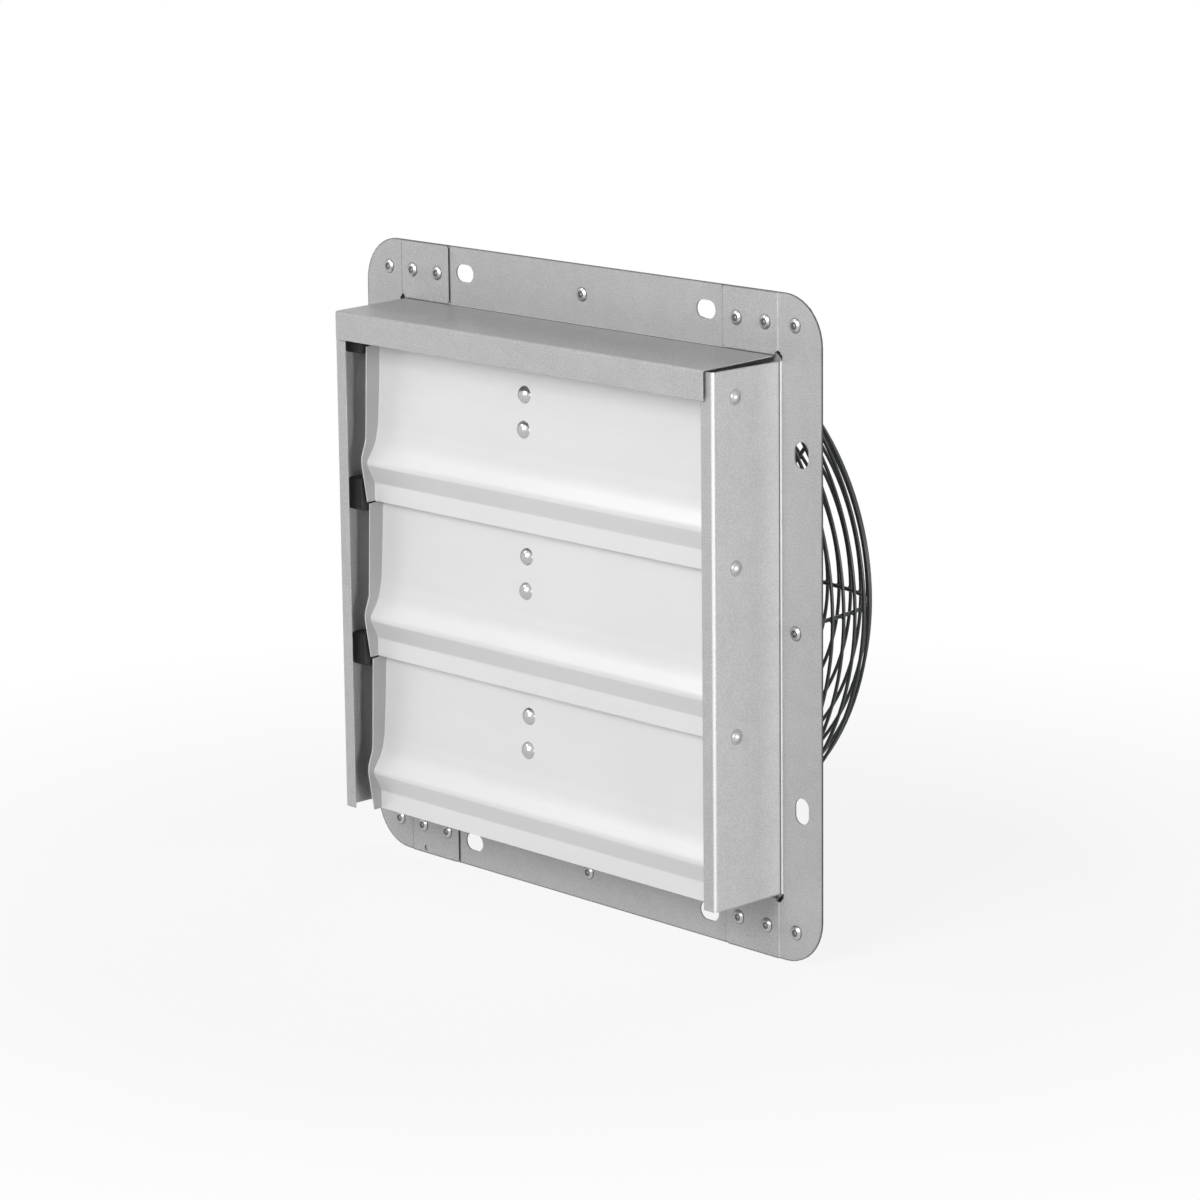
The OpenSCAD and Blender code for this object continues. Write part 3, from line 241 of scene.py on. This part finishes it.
def sheet_marks(f):
    """Masks of painted light and shade on the casing sheet: painted shade on cut edges, seats and gaps,
    painted highlights on the bends, and the webs painted lighter.
    """
    x, y, z = f.parts(f.place)
    side_x, side_y, side_z = f.parts(f.flat)
    on_flange = 1 - y.size().above(FLANGE_FACE * mm, (FLANGE_FACE + 0.2) * mm)
    wide, tall = x.size(), z.size()
    left = 1 - x.above(-1.0 * mm, 0.0)
    on_strip = tall.above(SEAM_EDGE * mm, (SEAM_EDGE + 0.2) * mm)
    # The crease beside a corner tab, which catches the light on one side and is in shadow on the other; its
    # side facing +X gets a painted highlight, and it is kept out of the painted shade of the cut edges
    crease = wide.beside(CREASE * mm, 0.1 * mm, 0.25 * mm) * tall.above(157.2 * mm, 157.6 * mm)
    # Painted shadow on a strip beside the left corner tab's edge
    shade = wide.beside(SHADED_STRIP * mm, 0.25 * mm, 0.5 * mm) * on_strip * left
    # Painted shade on the flange's cut edges, except at the crease
    cut = (1 - side_y.size().above(0.25, 0.6)) * (1 - crease)
    # Painted shade at the top and bottom ends of the channels
    ends = side_z.size().above(0.9, 0.97) * tall.beside(CHANNEL_END * mm, 0.1 * mm, 0.2 * mm)
    # Painted shade on a band along the flange's rounded outer edge
    round_x, round_z = (wide - CORNER_CENTRE * mm).most(0.0), (tall - CORNER_CENTRE * mm).most(0.0)
    rim = ((round_x ** 2 + round_z ** 2) ** 0.5).above(RIM_START * mm, (RIM_START + 0.5) * mm)
    # Painted shade in a ring round each rivet head's seat
    head = near(wide, tall, RIVET_PLACES)
    seat = head.beside(4.15 * mm, 0.12 * mm, 0.4 * mm)
    # Painted shadow along the edge of each corner tab
    step = wide.beside(TAB_EDGE * mm, 0.35 * mm, 0.55 * mm) * on_strip
    on_web = side_x.size().above(0.9, 0.95)
    # Painted shade in a ring round each pivot rivet on the webs
    web_seat = on_web * near(y, z, PIVOT_PLACES).beside(4.2 * mm, 0.15 * mm, 0.5 * mm)
    # All of these marks are painted shade
    on_front = cut * 0.8 + seat * 0.5 + step * 0.8 + rim * 0.65 + shade * 0.45
    dark = on_flange * on_front + ends * 0.6 + web_seat * 0.45
    # Painted highlight: a bright line down each vertical bend, and on the crease's face toward +X on the
    # flange
    bend_highlight = (side_x * side_y).size().above(0.3, 0.48) + crease * on_flange * side_x.above(0.5, 0.9) * 0.7
    inside = 1 - tall.above(151.0 * mm, 151.2 * mm)
    # Painted light: the webs are painted lighter, most near their back bend
    painted_web_light = on_web * (0.7 + y.above((WEB_BACK - 16) * mm, WEB_BACK * mm)) * inside
    return dark.clamped(), bend_highlight.clamped(), painted_web_light


def zinc_sheet(name, level, roughness, warm=0.0, metallic=0.2):
    """Galvanised steel sheet: faint spangle, fine grain, painted shade on cut edges and seats, painted
    highlights on the bends, webs painted lighter.
    """
    f = Finish(name, Metallic=metallic, Specular_IOR_Level=0.25)
    f.rounded(0.35 * mm)
    grain = f.noise(f.place, 2600, 2)
    speck = f.noise(f.place, 1000, 1).above(0.3, 0.7)
    cloud = f.noise(f.place, 14, 3)
    spangle = f.add("ShaderNodeTexVoronoi", {}, {"Vector": f.place, "Scale": 170.0}, "Color")
    cell = f.add("ShaderNodeSeparateColor", {}, {"Color": spangle}, 0)
    dark, bend_highlight, painted_web_light = sheet_marks(f)
    # The webs' tone is raised here as painted light
    tone = 0.52 + grain * 0.52 + speck * 0.24 + cloud * 0.11 + cell * 0.05 + painted_web_light * 0.19
    shade = f.toned(grey(level, warm), tone)
    # Painted highlight on the bends and the crease
    shade = f.mixed(bend_highlight * 0.7, shade, grey(0.9))
    # Painted shade: the dark mask takes the colour towards near black
    f.feed(Base_Color=f.mixed(dark, shade, grey(0.05)))
    f.feed(Roughness=roughness - 0.06 + cloud * 0.08 + grain * 0.05 + dark * 0.15 - bend_highlight * 0.12)
    f.bumped(grain + speck * 0.8, 0.025 * mm, 0.6)
    return f.material


def blade_sheet(name):
    """Satin silver coat on aluminium, rolled along the blade, with rubbed edges; painted highlight on the
    rib's up-facing slopes, painted shade on down-facing slopes and on the end flanges.
    """
    f = Finish(name, Metallic=0.3, Specular_IOR_Level=0.35)
    f.rounded(0.3 * mm)
    edge = f.edge()
    rolled = f.noise(f.stretched(f.place, 0.03, 1, 1), 2200, 2)
    grain = f.noise(f.place, 1900, 2)
    cloud = f.noise(f.stretched(f.place, 0.5, 1, 1), 18, 3)
    side_x, side_y, side_z = f.parts(f.flat)
    # Painted highlight on faces turned up, painted shade on faces turned down
    painted_rib_highlight = side_z.above(0.2, 0.5) * (1 - side_x.size().above(0.3, 0.6))
    painted_underside_shade = (0 - side_z).above(0.2, 0.35) * (1 - side_x.size().above(0.3, 0.6))
    # Painted shade: the end flanges, facing sideways, are painted much darker
    ends = side_x.size().above(0.85, 0.95)
    tone = 0.90 + rolled * 0.05 + grain * 0.05 + cloud * 0.10 + painted_rib_highlight * 0.03 - painted_underside_shade * 0.10 - ends * 0.48
    shade = f.toned(grey(0.74), tone)
    f.feed(Base_Color=f.mixed(edge * 0.4, shade, grey(0.82)))
    f.feed(Roughness=0.33 + cloud * 0.08 + grain * 0.04)
    f.bumped(rolled * 0.7 + grain * 0.5, 0.012 * mm, 0.4)
    return f.material


def bright_metal(name, level, roughness, warm=0.0, dull=0.12):
    """Plated or drawn metal: shiny, with small scuffs."""
    f = Finish(name, Metallic=1.0)
    f.rounded(0.2 * mm)
    scuffs = f.noise(f.place, 900, 4, 0.6)
    patches = f.noise(f.place, 160, 2)
    marks = scuffs.above(0.55, 0.75)
    shade = f.toned(grey(level, warm), 0.94 + patches * 0.14 - marks * 0.18)
    f.feed(Base_Color=shade)
    f.feed(Roughness=roughness + patches * 0.06 + marks * dull)
    f.bumped(scuffs, 0.02 * mm, 0.35)
    return f.material


def blind_rivet(name, level, roughness):
    """Zinc plate of the blind rivets, with painted shade: a dark ring round the mandrel's hollow and a thin
    shadow at the rim.
    """
    f = Finish(name, Metallic=0.9)
    x, y, z = f.parts(f.place)
    head = near(x.size(), z.size(), RIVET_PLACES)
    dark_line = head.beside(1.75 * mm, 0.25 * mm, 0.55 * mm)
    rim = head.above(3.75 * mm, 3.95 * mm)
    # Painted shade on the rivet's front: the ring round the hollow and the rim
    dark = ((dark_line * 0.85 + rim * 0.7) * (1 - y.above(0.0, 0.1 * mm))).clamped()
    scuffs = f.noise(f.place, 900, 4, 0.6)
    shade = f.toned(grey(level), 0.9 + scuffs * 0.2)
    f.feed(Base_Color=f.mixed(dark, shade, grey(0.06)))
    f.feed(Roughness=roughness + scuffs * 0.1 + dark * 0.2)
    f.bumped(scuffs, 0.03 * mm, 0.4)
    return f.material


def powder_coat(name, colour, roughness=0.34):
    """Black coating on wire: orange peel, a trace of dust on top."""
    f = Finish(name, Specular_IOR_Level=0.5)
    peel = f.noise(f.place, 1100, 2)
    patches = f.noise(f.place, 35, 3)
    side_x, side_y, side_z = f.parts(f.flat)
    dust = side_z.above(0.2, 1.0) * patches.above(0.35, 0.75)
    shade = f.mixed(dust * 0.12, colour, (0.22, 0.22, 0.21, 1))
    f.feed(Base_Color=shade)
    f.feed(Roughness=roughness + patches * 0.08 + dust * 0.2)
    f.bumped(peel, 0.05 * mm, 0.5)
    return f.material


def moulded_nylon(name, colour):
    """Moulded black plastic with a fine texture and rubbed corners."""
    f = Finish(name, Specular_IOR_Level=0.4)
    f.rounded(0.4 * mm)
    edge = f.edge()
    grain = f.noise(f.place, 1500, 3)
    flow = f.noise(f.place, 60, 3)
    shade = f.toned(colour, 0.8 + flow * 0.5)
    f.feed(Base_Color=f.mixed(edge * 0.3, shade, (0.10, 0.10, 0.10, 1)))
    f.feed(Roughness=0.46 + grain * 0.12 - edge * 0.1)
    f.bumped(grain, 0.03 * mm, 0.5)
    return f.material


def motor_paint(name, colour):
    """Semi-gloss paint over pressed and cast covers."""
    f = Finish(name, Specular_IOR_Level=0.5, Coat_Weight=0.25, Coat_Roughness=0.2)
    f.rounded(0.5 * mm)
    edge = f.edge()
    peel = f.noise(f.place, 500, 3)
    patches = f.noise(f.place, 45, 4)
    wear = (edge * patches.above(0.45, 0.7)).clamped()
    shade = f.toned(colour, 0.85 + patches * 0.35)
    f.feed(Base_Color=f.mixed(wear * 0.5, shade, (0.3, 0.3, 0.3, 1)))
    f.feed(Roughness=0.38 + patches * 0.12, Metallic=wear * 0.5)
    f.bumped(peel, 0.06 * mm, 0.45)
    return f.material


def laminations(name):
    """Stacked steel laminations: thin dark lines across the motor's axis."""
    f = Finish(name, Metallic=0.85)
    x, y, z = f.parts(f.place)
    lines = y.maths("PINGPONG", y, LAMINATION / 2) / (LAMINATION / 2)
    dark_line = 1 - lines.above(0.05, 0.35)
    rust = f.noise(f.place, 120, 4).above(0.5, 0.75)
    shade = f.mixed(rust * 0.35, grey(0.20, 0.03), (0.16, 0.10, 0.07, 1))
    f.feed(Base_Color=f.mixed(dark_line * 0.8, shade, grey(0.03)))
    f.feed(Roughness=0.42 + rust * 0.25 + dark_line * 0.2)
    f.bumped(lines.above(0.0, 0.5), 0.08 * mm, 0.8)
    return f.material


def copper_winding(name):
    """Lacquered copper wire, layer on layer."""
    f = Finish(name, Metallic=0.9, Coat_Weight=0.5, Coat_Roughness=0.15)
    strands = f.noise(f.place, 800, 1)
    shade = f.mixed(strands.above(0.35, 0.65), (0.30, 0.09, 0.035, 1), (0.62, 0.24, 0.10, 1))
    f.feed(Base_Color=shade, Roughness=0.3 + strands * 0.2)
    f.bumped(strands, 0.15 * mm, 0.8)
    return f.material


def cast_metal(name, level):
    """Die-cast aluminium: grainy skin, smoother on the rubbed edges."""
    f = Finish(name, Metallic=0.9)
    f.rounded(0.6 * mm)
    edge = f.edge()
    skin = f.noise(f.place, 700, 4, 0.6)
    patches = f.noise(f.place, 60, 3)
    shade = f.toned(grey(level), 0.85 + patches * 0.2 + skin * 0.12)
    f.feed(Base_Color=f.mixed(edge * 0.6, shade, grey(0.75)))
    f.feed(Roughness=0.5 + skin * 0.15 - edge * 0.2)
    f.bumped(skin, 0.12 * mm, 0.5)
    return f.material


def fan_sheet(name):
    """Aluminium sheet of the fan, brushed outwards from the hub."""
    f = Finish(name, Metallic=0.95)
    f.rounded(0.3 * mm)
    edge = f.edge()
    brushed = f.noise(f.stretched(f.place, 1, 0.2, 1), 1400, 2)
    patches = f.noise(f.place, 25, 3)
    shade = f.toned(grey(0.62), 0.9 + brushed * 0.1 + patches * 0.1)
    f.feed(Base_Color=f.mixed(edge * 0.6, shade, grey(0.85)))
    f.feed(Roughness=0.3 + patches * 0.1 + brushed * 0.06)
    f.bumped(brushed, 0.02 * mm, 0.5)
    return f.material


# Pieces of the scene alone

def new_piece(name, mesh_maker, material, body):
    """A mesh object filled by mesh_maker, which rides on a body."""
    mesh = bmesh.new()
    mesh_maker(mesh)
    data = bpy.data.meshes.new(name)
    mesh.to_mesh(data)
    mesh.free()
    for face in data.polygons:
        face.use_smooth = True
    data.materials.append(material)
    piece = bpy.data.objects.new(name, data)
    bpy.context.scene.collection.objects.link(piece)
    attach(piece, body)
    return piece


def turned_form(mesh, outline, place, sides=16):
    """A form turned about the Y axis from radius and depth pairs, moved to a place."""
    rings = []
    for radius, depth in outline:
        if radius == 0:
            rings.append([mesh.verts.new(place @ Vector((0, depth, 0)))])
            continue
        turns = [2 * math.pi * i / sides for i in range(sides)]
        around = [Vector((radius * math.cos(a), depth, radius * math.sin(a))) for a in turns]
        rings.append([mesh.verts.new(place @ spot) for spot in around])
    for low, high in zip(rings, rings[1:]):
        for i in range(sides):
            j = i + 1
            corners = [low[i % len(low)], low[j % len(low)], high[j % len(high)], high[i % len(high)]]
            corners = [v for n, v in enumerate(corners) if v not in corners[:n]]
            if len(corners) > 2:
                mesh.faces.new(corners)


def rivet_mandrels(mesh):
    """Broken ends of the mandrels, deep in the blind rivets' heads."""
    outline = [(p * mm, q * mm) for p, q in (
        (0.0, -1.25), (0.45, -1.2), (0.8, -1.02), (1.0, -0.92), (1.14, -0.98), (1.22, -0.6), (1.22, 0.0))]
    for across, up in RIVET_PLACES:
        for x_side in (-1, 1) if across else (1,):
            for z_side in (-1, 1) if up else (1,):
                proud = SHEET if across in TAB_RIVETS else 0.0
                spot = Vector((x_side * across, -proud, z_side * up)) * mm
                turned_form(mesh, outline, Matrix.Translation(spot))


def relief_hole_shade(mesh):
    """Dark dabs behind the relief holes, on the back of the fan panel: a dark piece put there as painted
    shade, seen through the holes.
    """
    outline = [(p * mm, q * mm) for p, q in (
        (0.0, 1.62), (3.6, 1.62), (5.6, 1.7), (6.1, 2.0), (5.4, 2.4), (3.0, 2.7), (0.0, 2.8))]
    for x_side in (-1, 1):
        for z_side in (-1, 1):
            spot = Vector((x_side * RELIEF_HOLE[0], 0, z_side * RELIEF_HOLE[1])) * mm
            turned_form(mesh, outline, Matrix.Translation(spot), 20)


def spoke_line(length):
    """Radius, depth and outward angle at a length along a guard spoke, in millimetres."""
    foot_r, foot_y, lean, depth, dome, bend_r, flat_r = 164.2, 2.0, 12.9, 111.4, 15.0, 53.0, 52.0
    shoulder = (foot_r - lean, depth - dome)
    side = math.atan2(lean, shoulder[1] - foot_y)
    back = math.atan2(dome, shoulder[0] - flat_r)
    turn = math.pi / 2 - side - back
    tangent = bend_r * math.tan(turn / 2)
    side_len = math.hypot(lean, shoulder[1] - foot_y) - tangent
    if length < side_len:
        return foot_r - length * math.sin(side), foot_y + length * math.cos(side), side
    if length < side_len + bend_r * turn:
        centre_r = shoulder[0] + tangent * math.sin(side) - bend_r * math.cos(side)
        centre_y = shoulder[1] - tangent * math.cos(side) - bend_r * math.sin(side)
        a = side + (length - side_len) / bend_r
        return centre_r + bend_r * math.cos(a), centre_y + bend_r * math.sin(a), a
    run = length - side_len - bend_r * turn + tangent
    return shoulder[0] - run * math.cos(back), shoulder[1] + run * math.sin(back), math.pi / 2 - back


RINGS, SPOKES, FIRST_RING, RING_PITCH, WIRE_TOUCH = 16, 8, 14.8, 10.8, 1.2


def guard_welds(mesh):
    """Small beads where each ring is welded to each spoke."""
    for ring in range(RINGS):
        radius, depth, angle = spoke_line(FIRST_RING + RING_PITCH * ring)
        spot = Vector((radius + WIRE_TOUCH * math.cos(angle), depth + WIRE_TOUCH * math.sin(angle), 0)) * mm
        for spoke in range(SPOKES):
            turn = Matrix.Rotation(spoke * 2 * math.pi / SPOKES, 4, "Y")
            lean = Matrix.Rotation(angle - math.pi / 2, 4, "Z")
            wide = 1 + 0.12 * math.sin(ring * 2.3 + spoke * 1.7)
            size = Matrix.Diagonal((1.5 * wide, 0.62, 1.75 / wide, 1))
            bead = turn @ Matrix.Translation(spot) @ lean @ size
            outline = [(math.sin(a) * mm, -math.cos(a) * mm) for a in (math.pi * i / 6 for i in range(7))]
            outline[0], outline[-1] = (0, -mm), (0, mm)
            turned_form(mesh, outline, bead, 10)


def add_details(finishes):
    new_piece("rivet_mandrels", rivet_mandrels, finishes["mandrel_steel"], "casing")
    # Dark dabs behind the relief holes, as painted shade
    new_piece("relief_hole_shade", relief_hole_shade, finishes["black_nylon"], "casing")
    new_piece("guard_welds", guard_welds, finishes["guard_coating"], "casing")


def dress_solids():
    """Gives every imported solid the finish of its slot."""
    finishes = {
        "galvanised_sheet": zinc_sheet("galvanised_sheet", 0.452, 0.37),
        "panel_sheet": zinc_sheet("panel_sheet", 0.44, 0.44, 0.0, 0.4),
        "blade_sheet": blade_sheet("blade_sheet"),
        "rivet_steel": bright_metal("rivet_steel", 0.50, 0.20),
        "blind_rivet_steel": blind_rivet("blind_rivet_steel", 0.46, 0.26),
        "web_rivet_steel": bright_metal("web_rivet_steel", 0.52, 0.28),
        "black_nylon": moulded_nylon("black_nylon", (0.022, 0.022, 0.023, 1)),
        "guard_coating": powder_coat("guard_coating", (0.018, 0.021, 0.021, 1)),
        "motor_paint": motor_paint("motor_paint", (0.035, 0.037, 0.040, 1)),
        "laminated_steel": laminations("laminated_steel"),
        "copper_winding": copper_winding("copper_winding"),
        "bearing_steel": bright_metal("bearing_steel", 0.60, 0.22),
        "cast_aluminium": cast_metal("cast_aluminium", 0.52),
        "fan_aluminium": fan_sheet("fan_aluminium"),
        "screw_steel": bright_metal("screw_steel", 0.05, 0.34, 0.01),
        "mandrel_steel": bright_metal("mandrel_steel", 0.30, 0.32),
    }
    special = {
        "corner_rivets": "blind_rivet_steel", "panel_rivets": "blind_rivet_steel",
        "pivot_rivets": "web_rivet_steel",
    }
    for name, solid in nodes.items():
        slot = special.get(name) or solid.data.materials[0].name.split(".")[0]
        solid.data.materials.clear()
        solid.data.materials.append(finishes[slot])
    return finishes


# Studio

# World light at the horizon, which fades to none overhead
FILL = 0.29
# Turn from the front, rise, distance, width, height and watts of each lamp
LAMPS = (
    ("front_lamp", 12, 25, 2.3, 1.1, 1.2, 38),
    ("right_lamp", 86, 2, 2.4, 0.9, 0.5, 28),
    ("left_lamp", -42, 44, 2.4, 0.7, 0.5, 6),
    ("back_lamp", 190, 40, 2.6, 1.6, 1.2, 20),
)


def shown(tree):
    """1 for rays that show the background: from the camera, from gloss and through glass."""
    path = tree.add("ShaderNodeLightPath").socket.node
    return (Link(tree, path.outputs["Is Camera Ray"]) + Link(tree, path.outputs["Is Glossy Ray"])
            + Link(tree, path.outputs["Is Transmission Ray"])).clamped()


def light_studio():
    """White surroundings, a pale floor that keeps the shadow, and soft lamps."""
    world = bpy.data.worlds.new("studio")
    bpy.context.scene.world = world
    tree = Tree(world)
    place_x, place_y, height = tree.parts(tree.add("ShaderNodeTexCoord", {}, {}, "Generated"))
    fill = tree.add("ShaderNodeBackground", {}, {
        "Color": (1, 1, 1, 1), "Strength": FILL * (1 - height.above(0.0, 0.9))})
    white = tree.add("ShaderNodeBackground", {}, {"Color": (1, 1, 1, 1), "Strength": 1.0})
    tree.add("ShaderNodeOutputWorld", {}, {
        "Surface": tree.add("ShaderNodeMixShader", {}, {0: shown(tree), 1: fill, 2: white})})

    sheet = bmesh.new()
    bmesh.ops.create_grid(sheet, x_segments=8, y_segments=8, size=9)
    floor_mesh = bpy.data.meshes.new("floor")
    sheet.to_mesh(floor_mesh)
    sheet.free()
    floor = bpy.data.objects.new("floor", floor_mesh)
    floor.location.z = solid_box[0].z - 0.2 * mm
    bpy.context.scene.collection.objects.link(floor)
    material = bpy.data.materials.new("floor")
    tree = Tree(material)
    place = tree.add("ShaderNodeTexCoord", {}, {}, "Object")
    away = tree.add("ShaderNodeVectorMath", {"operation": "LENGTH"}, {0: place}, "Value")
    pale = tree.add("ShaderNodeBsdfDiffuse", {}, {"Color": (0.75, 0.75, 0.75, 1)})
    white = tree.add("ShaderNodeEmission", {}, {"Color": (1, 1, 1, 1), "Strength": 1.0})
    share = shown(tree) * (0.86 + away.above(0.3, 0.7) * 0.14)
    tree.add("ShaderNodeOutputMaterial", {}, {
        "Surface": tree.add("ShaderNodeMixShader", {}, {0: share, 1: pale, 2: white})})
    floor_mesh.materials.append(material)

    for name, turn, rise, away, width, height, power in LAMPS:
        lamp = bpy.data.lights.new(name, "AREA")
        lamp.shape, lamp.size, lamp.size_y, lamp.energy = "RECTANGLE", width, height, power
        holder = bpy.data.objects.new(name, lamp)
        bpy.context.scene.collection.objects.link(holder)
        turn, rise = math.radians(turn), math.radians(rise)
        back = Vector((math.sin(turn) * math.cos(rise), -math.cos(turn) * math.cos(rise), math.sin(rise)))
        holder.location = back * away
        holder.rotation_mode = "QUATERNION"
        holder.rotation_quaternion = back.to_track_quat("Z", "Y")
    bpy.context.scene.view_settings.view_transform = "Standard"


place_camera()
light_studio()
add_details(dress_solids())

bpy.context.view_layer.update()
